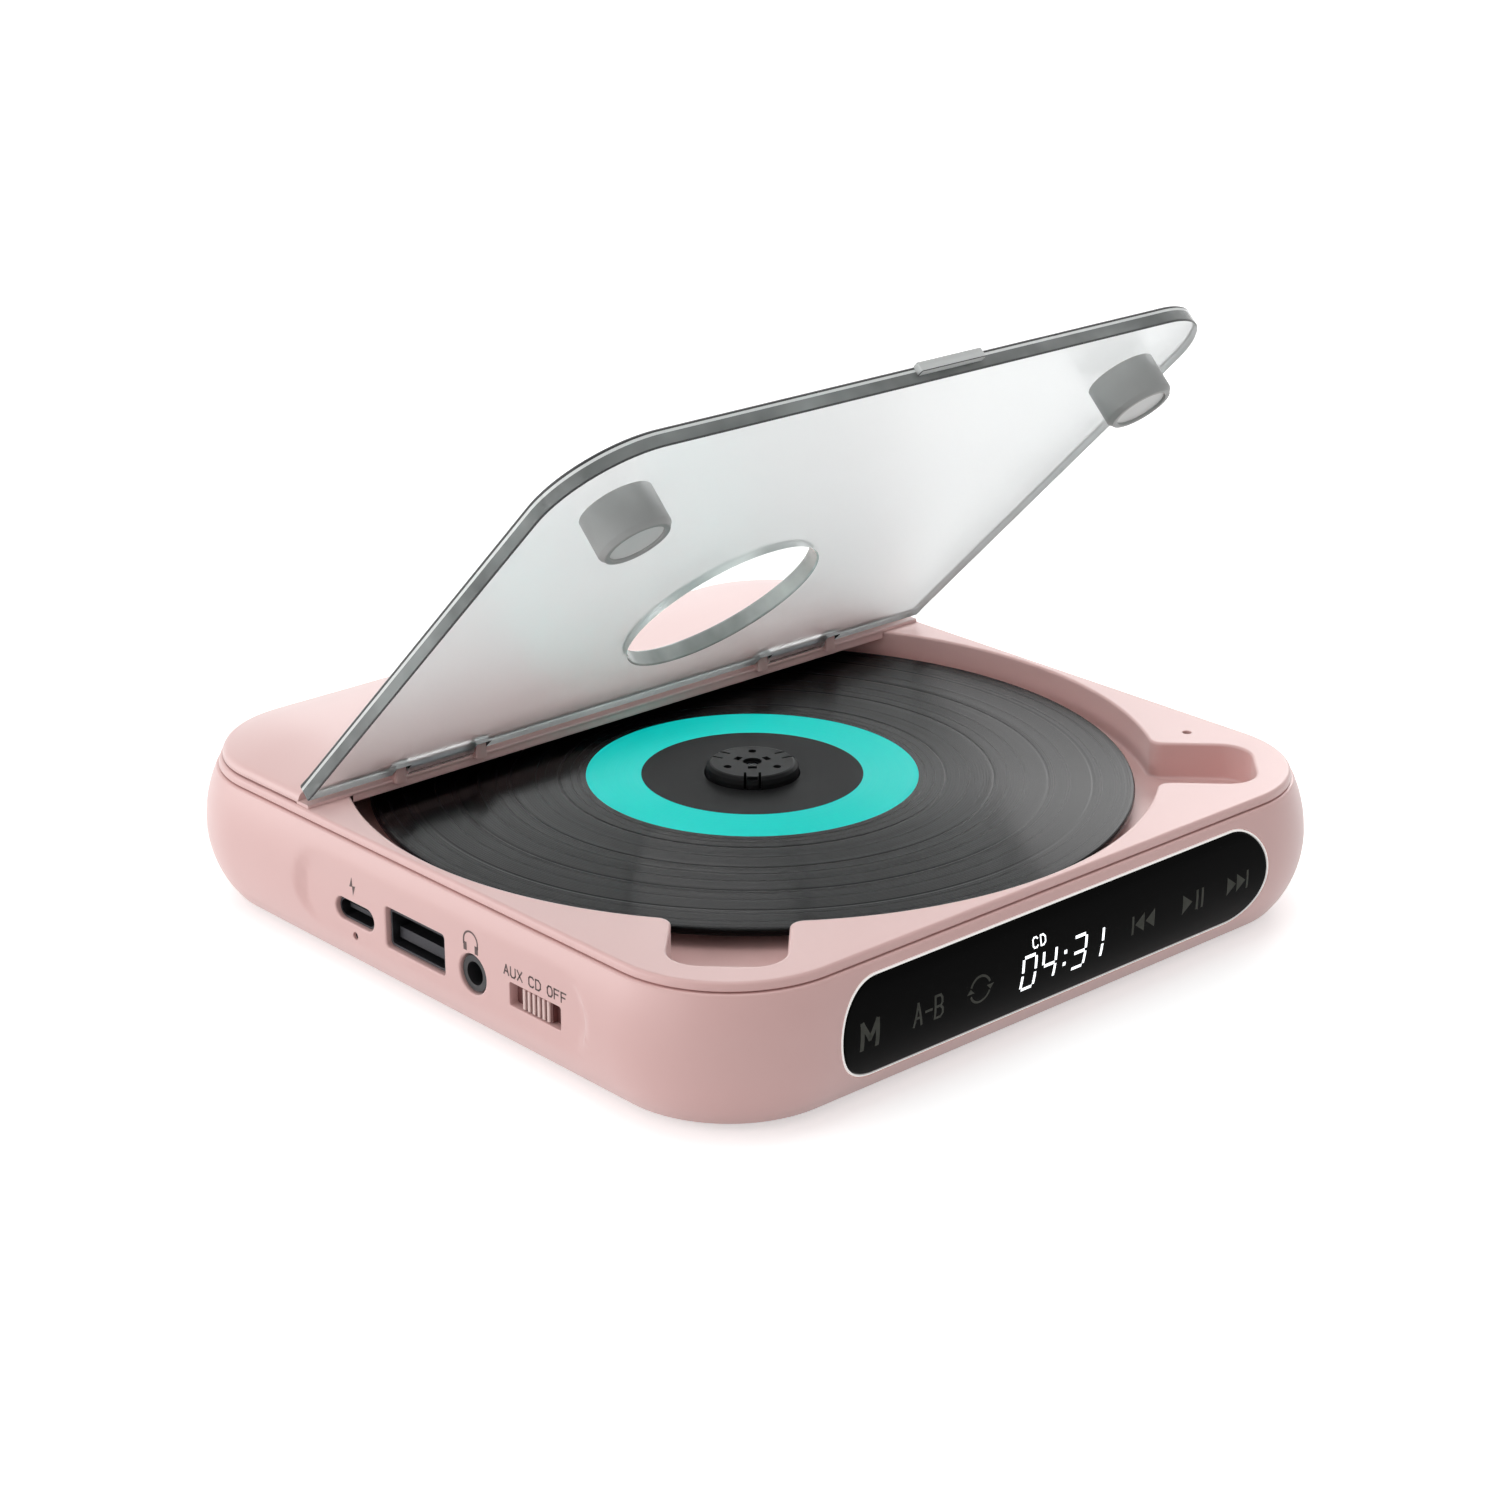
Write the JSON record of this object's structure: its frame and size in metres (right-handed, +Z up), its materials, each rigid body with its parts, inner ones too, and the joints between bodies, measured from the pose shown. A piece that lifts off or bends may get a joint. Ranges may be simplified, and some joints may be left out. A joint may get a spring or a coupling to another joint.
{
  "type": "wall mounted disc player",
  "caption": "Square disc player with rounded swollen walls, open disc well, clear hinged half lid, touch display window and a row of side ports.",
  "frame": {"origin": "middle of the footprint, on the surface the feet stand on, under the spindle", "axes": "+Z up along the spindle, -Y towards the display, +X to the right seen from the display"},
  "size_m": [0.1358, 0.1354, 0.0941],
  "materials": {
    "pink_case": "satin pale pink moulding",
    "pale_cap": "satin pale pink moulding, lighter",
    "pink_knob": "satin dusky pink moulding",
    "rubber": "matt grey rubber",
    "steel": "plain machined steel",
    "magnet": "nickel plated magnet",
    "magnet_face": "nickel plated magnet, dull",
    "motor_can": "drawn steel can",
    "drive_plate": "matt grey coated sheet",
    "drive_plate_plastic": "dark grey glass filled plastic",
    "black_window": "gloss black acrylic",
    "white_line": "gloss white moulding",
    "copper_film": "amber film with printed copper",
    "black_plastic": "matt black plastic",
    "circuit_board": "green solder mask",
    "battery_wrap": "silver grey pouch",
    "socket_steel": "tin plated sheet",
    "light_pipe": "clear light pipe, unlit",
    "clear_acrylic": "clear polished acrylic",
    "grey_post": "satin grey moulding",
    "black_disc": "gloss black disc with fine grooves",
    "pale_nylon": "natural nylon",
    "lens_glass": "coated lens",
    "brass": "cut brass"
  },
  "bodies": {
    "housing": {"top_deck": "pink_case", "case_shell": "pink_case", "base_cover": "pink_case", "rubber_feet": "rubber", "base_screws": "steel", "rear_cap": "pale_cap", "cap_screws": "steel", "hinge_pins": "steel", "catch_magnets": "magnet", "spindle_motor": "motor_can", "mech_frame": "drive_plate", "dampers": "rubber", "mech_screws": "steel", "guide_rods": "steel", "feed_arbor": "steel", "feed_motor": "motor_can", "display_window": "black_window", "window_trim": "white_line", "touch_film": "copper_film", "touch_pads": "black_plastic", "display_board": "circuit_board", "digit_module": "black_plastic", "main_board": "circuit_board", "board_chips": "black_plastic", "board_screws": "steel", "battery": "battery_wrap", "usb_c_socket": "socket_steel", "usb_a_socket": "socket_steel", "headphone_jack": "black_plastic", "switch_body": "socket_steel", "charge_light": "light_pipe", "lid_sensor": "circuit_board"},
    "lid": {"lid": "clear_acrylic", "lid_posts": "grey_post", "lid_magnets": "magnet_face"},
    "turntable": {"disc": "black_disc", "hub": "black_plastic", "platter": "drive_plate_plastic", "spindle_shaft": "steel"},
    "sled": {"pickup_sled": "drive_plate_plastic", "sled_rack": "pale_nylon", "lens_holder": "black_plastic", "pickup_lens": "lens_glass"},
    "feed_gear": {"feed_gear": "pale_nylon"},
    "motor_pinion": {"motor_pinion": "brass", "motor_shaft": "steel"},
    "switch": {"switch_knob": "pink_knob"}
  },
  "joints": [
    {"name": "lid_hinge", "type": "hinge", "parent": "housing", "child": "lid", "pos_m": [0, 0.0294, 0.0252], "axis": [-1, 0, 0], "range_deg": [-45, 35]},
    {"name": "turntable_spin", "type": "hinge", "parent": "housing", "child": "turntable", "pos_m": [0, 0, 0.019], "axis": [0, 0, 1], "continuous": true},
    {"name": "sled_travel", "type": "slide", "parent": "housing", "child": "sled", "axis": [0.7071, 0.7071, 0], "range_m": [0, 0.032]},
    {"name": "feed_gear_spin", "type": "hinge", "parent": "housing", "child": "feed_gear", "pos_m": [0.01103, 0.04271, 0.0045], "axis": [0, 0, 1], "range_deg": [-40, 570]},
    {"name": "pinion_spin", "type": "hinge", "parent": "housing", "child": "motor_pinion", "pos_m": [0.01103, 0.05421, 0.0045], "axis": [0, 0, 1], "range_deg": [-2060, 110]},
    {"name": "switch_slide", "type": "slide", "parent": "housing", "child": "switch", "axis": [0, 1, 0], "range_m": [-0.0022, 0.0022]}
  ],
  "couplings": [
    {"joint": "feed_gear_spin", "follows": "sled_travel", "rad_per_m": 285.71},
    {"joint": "pinion_spin", "follows": "sled_travel", "rad_per_m": -1028.6}
  ]
}
